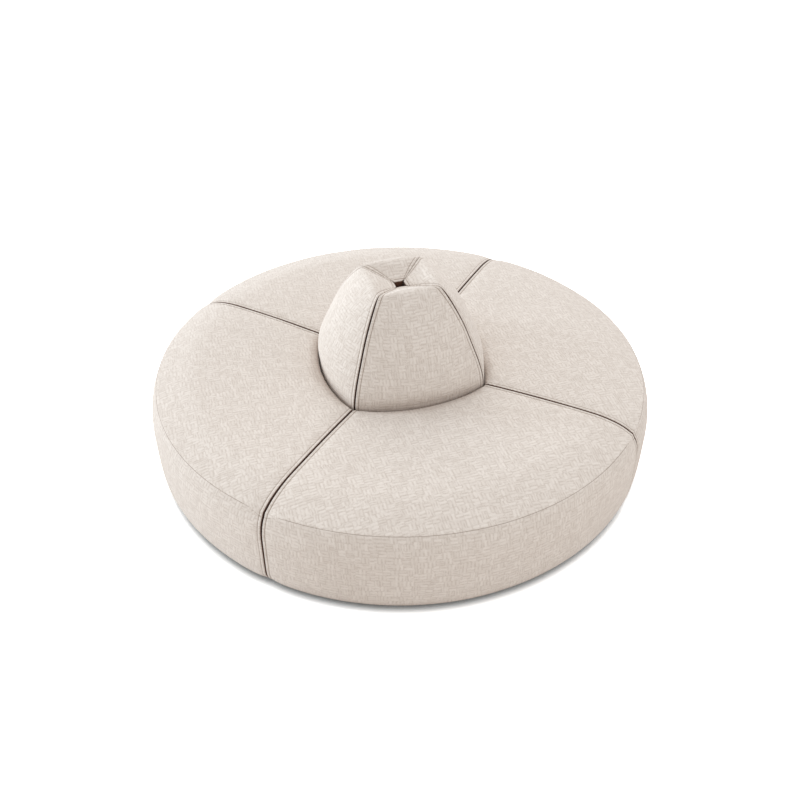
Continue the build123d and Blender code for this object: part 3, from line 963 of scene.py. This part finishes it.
def fabric():
    """Ivory cover fabric with its woven bars, and painted shade in its seams, creases, gaps and pole hole."""
    material = bpy.data.materials.get("Ivory parquet weave")
    if material:
        return material
    looks = settings("fabric")
    material, nodes, shader = new_material("Ivory parquet weave")
    cloth = nodes.add("ShaderNodeUVMap", uv_map="fabric").outputs[0]
    weave = nodes.add("ShaderNodeGroup", node_tree=parquet_group())
    nodes.fill(weave, {"Cloth": cloth, "Cell": looks.cell, "Thread": looks.thread})
    bars, tone, threads, slub = (weave.outputs[name] for name in ("Bars", "Tone", "Threads", "Slub"))
    # The ground between the bars shows in patches, where the slubs are thick
    patches = nodes.times(nodes.ramp(slub, 0.36, 0.62, 0.15, 1.0), nodes.math("SUBTRACT", 1.0, bars))
    base = nodes.mix(nodes.times(patches, looks.ground_share), looks.bar, looks.ground)
    base = nodes.mix(nodes.ramp(tone, 0.25, 0.75, 0.0, looks.tone_share), base, looks.ground)
    between = nodes.ramp(threads, 0.0, 1.0, looks.thread_share, 0.0, soft=False)
    base = nodes.mix(between, base, looks.ground)
    # Painted shade along the seams' grooves and the panel beside them
    seam = nodes.add("ShaderNodeAttribute", attribute_name="seam").outputs["Fac"]
    base = nodes.mix(nodes.ramp(seam, 0.28, 1.0, 0.0, looks.seam_shade_share), base, looks.seam)
    # Painted shade in creases, from ambient occlusion
    painted_crease_shade = nodes.ramp(nodes.nearness(looks.crease_shade_reach), 0.25, 1.0, looks.crease_shade_share, 0.0)
    base = nodes.mix(painted_crease_shade, base, looks.crease_shade)
    # Painted shade in the gaps and the pole hole: a brown band that starts just inside the wall's edge and
    # ends at its width
    painted_gap_shade = nodes.add("ShaderNodeAttribute", attribute_name="painted_gap_shade").outputs["Fac"]
    width = looks.gap_shade_width
    painted_gap_shade_mask = nodes.times(nodes.ramp(painted_gap_shade, 0.0008, 0.002), nodes.ramp(painted_gap_shade, width, width + 0.002, 1.0, 0.0))
    nodes.fill(shader, {
        "Base Color": nodes.mix(painted_gap_shade_mask, base, looks.painted_gap_shade),
        "Roughness": nodes.ramp(bars, 0.0, 1.0, 0.95, 0.85, soft=False),
        "Sheen Weight": 0.2,
        "Sheen Roughness": 0.55,
        "Specular IOR Level": 0.2,
        "Normal": nodes.bump(nodes.plus(bars, nodes.times(threads, 0.25)), looks.relief, 0.8),
    })
    return material


def timber(name, light, dark, rings, stretch):
    """Wood with a figure that runs along X of the object, with fine pores."""
    material, nodes, shader = new_material(name)
    mapped = nodes.add("ShaderNodeMapping", {"Vector": nodes.place(), "Scale": stretch}).outputs[0]
    figure = nodes.clouds(mapped, rings, Detail=5.0, Distortion=0.8).outputs["Fac"]
    lines = nodes.ramp(figure, 0.40, 0.62)
    pores_per_ring = 14
    pores = nodes.clouds(mapped, rings * pores_per_ring).outputs["Fac"]
    base = nodes.mix(lines, light, dark)
    nodes.fill(shader, {
        "Base Color": nodes.mix(nodes.ramp(pores, 0.55, 0.75, 0.0, 0.35), base, dark),
        "Roughness": nodes.ramp(lines, 0.0, 1.0, 0.55, 0.7),
        "Normal": nodes.bump(pores, 0.0002, 0.6),
    })
    return material


def hard_finish(name, light, metallic, rough, grain):
    """Metal or plastic with a fine uneven surface."""
    material, nodes, shader = new_material(name)
    speckle = nodes.clouds(nodes.place(), grain, Detail=3.0).outputs["Fac"]
    dark = tuple(0.72 * part for part in light)
    nodes.fill(shader, {
        "Base Color": nodes.mix(nodes.ramp(speckle, 0.3, 0.7), light, dark),
        "Roughness": nodes.ramp(speckle, 0.3, 0.7, rough - 0.08, rough + 0.1),
        "Metallic": metallic,
        "Normal": nodes.bump(speckle, 0.0001, 0.5),
    })
    return material


class ISLAND_OT_frame_finishes(bpy.types.Operator):
    """Gives the frame's boards, slats, brackets and glides their finishes"""
    bl_idname = "island.frame_finishes"
    bl_label = "Frame finishes"

    def execute(self, context):
        looks = settings("timber")
        finishes = {
            "plywood": timber("Birch plywood", looks.plywood, looks.plywood_dark, 5.0, (1, 1, 9)),
            "pine": timber("Planed pine", looks.pine, looks.pine_dark, 7.0, (1, 1, 6)),
            "zinc_steel": hard_finish("Zinc plated steel", looks.zinc, 1.0, 0.38, 260.0),
            "glide_plastic": hard_finish("Glide plastic", looks.glide, 0.0, 0.6, 420.0),
        }
        slots = {node: "plywood" for node in WOOD_NODES}
        slots.update(deck_slats="pine", angle_brackets="zinc_steel", glides="glide_plastic")
        for module in MODULE_TURNS:
            for node, slot in slots.items():
                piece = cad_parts[f"{module}_{node}"]
                piece.data.materials.clear()
                piece.data.materials.append(finishes[slot])
        return {"FINISHED"}


class ISLAND_OT_studio(bpy.types.Operator):
    """Makes the floor, the light and the camera"""
    bl_idname = "island.studio"
    bl_label = "Studio"

    def execute(self, context):
        studio = settings("studio")
        scene = context.scene
        deselect()
        bpy.ops.mesh.primitive_plane_add(size=studio.floor_size)
        floor = context.object
        floor.name = "studio_floor"
        # The camera sees a glowing floor with a tinted shade under the sofa, and other rays see a warm one
        material, nodes, shader = new_material("Pale floor", "ShaderNodeBsdfDiffuse")
        mottle = nodes.clouds(nodes.place(), 1.5).outputs["Fac"]
        darker = tuple(0.995 * part for part in studio.floor)
        tinted = tuple(part * tint for part, tint in zip(studio.floor, studio.shade_tint))
        open_share = nodes.nearness(studio.contact)
        pale = nodes.mix(mottle, studio.floor, darker)
        pale = nodes.mix(nodes.ramp(open_share, 0.5, 1.0), tinted, pale)
        glow = nodes.ramp(open_share, 0.2, 0.9, studio.contact_glow, studio.glow)
        bright = nodes.vector("SCALE", pale, {"Scale": glow})
        seen = nodes.add("ShaderNodeLightPath").outputs["Is Camera Ray"]
        nodes.fill(shader, {"Color": nodes.mix(seen, studio.bounce, bright)})
        floor.data.materials.append(material)

        world = bpy.data.worlds.new("Studio")
        world.use_nodes = True
        nodes = Nodes(world.node_tree)
        nodes.tree.nodes.clear()
        seen = nodes.add("ShaderNodeLightPath").outputs["Is Camera Ray"]
        strength = nodes.math("MAXIMUM", seen, studio.sky)
        sky = nodes.add("ShaderNodeBackground", {"Color": (1, 1, 1, 1), "Strength": strength})
        nodes.add("ShaderNodeOutputWorld", {"Surface": sky.outputs[0]})
        scene.world = world
        for name in ("key", "rim", "fill"):
            data = bpy.data.lights.new(f"{name}_light", "SUN")
            data.energy, data.angle = getattr(studio, name), studio.soft_spread
            if name == "key":
                data.color, data.angle = studio.key_tint, studio.key_spread
            light = bpy.data.objects.new(f"{name}_light", data)
            scene.collection.objects.link(light)
            towards = Vector(getattr(studio, f"{name}_turn"))
            light.rotation_euler = towards.to_track_quat("Z", "Y").to_euler()

        data = bpy.data.cameras.new("camera")
        data.sensor_width, data.lens = 36, studio.lens
        camera = bpy.data.objects.new("camera", data)
        scene.collection.objects.link(camera)
        camera.location = studio.camera_place
        camera.rotation_euler = (pi / 2 - studio.camera_pitch, 0, studio.camera_turn)
        scene.camera = camera
        scene.view_settings.view_transform = "Standard"
        scene.view_settings.look = "None"
        return {"FINISHED"}


class ISLAND_PT_panel(bpy.types.Panel):
    """Sidebar panel with the sofa's sizes, colours and steps"""
    bl_idname = "ISLAND_PT_panel"
    bl_label = "Island sofa"
    bl_space_type = "VIEW_3D"
    bl_region_type = "UI"
    bl_category = "Island sofa"

    def draw(self, context):
        for operator in OPERATORS:
            self.layout.operator(operator.bl_idname)
        for name, group in GROUPS.items():
            box = self.layout.box()
            box.label(text=name.capitalize())
            for label in group.__annotations__:
                box.prop(settings(name), label)


GROUPS = {
    "module": ModuleSizes,
    "seat": SeatSizes,
    "back": BackSizes,
    "fabric": FabricLooks,
    "timber": TimberLooks,
    "studio": StudioSettings,
}
OPERATORS = (ISLAND_OT_seats, ISLAND_OT_backs, ISLAND_OT_frame_finishes, ISLAND_OT_studio)
CLASSES = (*GROUPS.values(), *OPERATORS, ISLAND_PT_panel)


def register():
    """Registers the settings, the steps and the panel."""
    for cls in CLASSES:
        bpy.utils.register_class(cls)
    for name, group in GROUPS.items():
        setattr(bpy.types.Scene, "island_" + name, PointerProperty(type=group))


def unregister():
    """Takes them away again."""
    for name in GROUPS:
        delattr(bpy.types.Scene, "island_" + name)
    for cls in reversed(CLASSES):
        bpy.utils.unregister_class(cls)


def main():
    """Builds the whole sofa."""
    register()
    bpy.ops.island.seats()
    bpy.ops.island.backs()
    bpy.ops.island.frame_finishes()
    bpy.ops.island.studio()


if __name__ == "__main__":
    main()
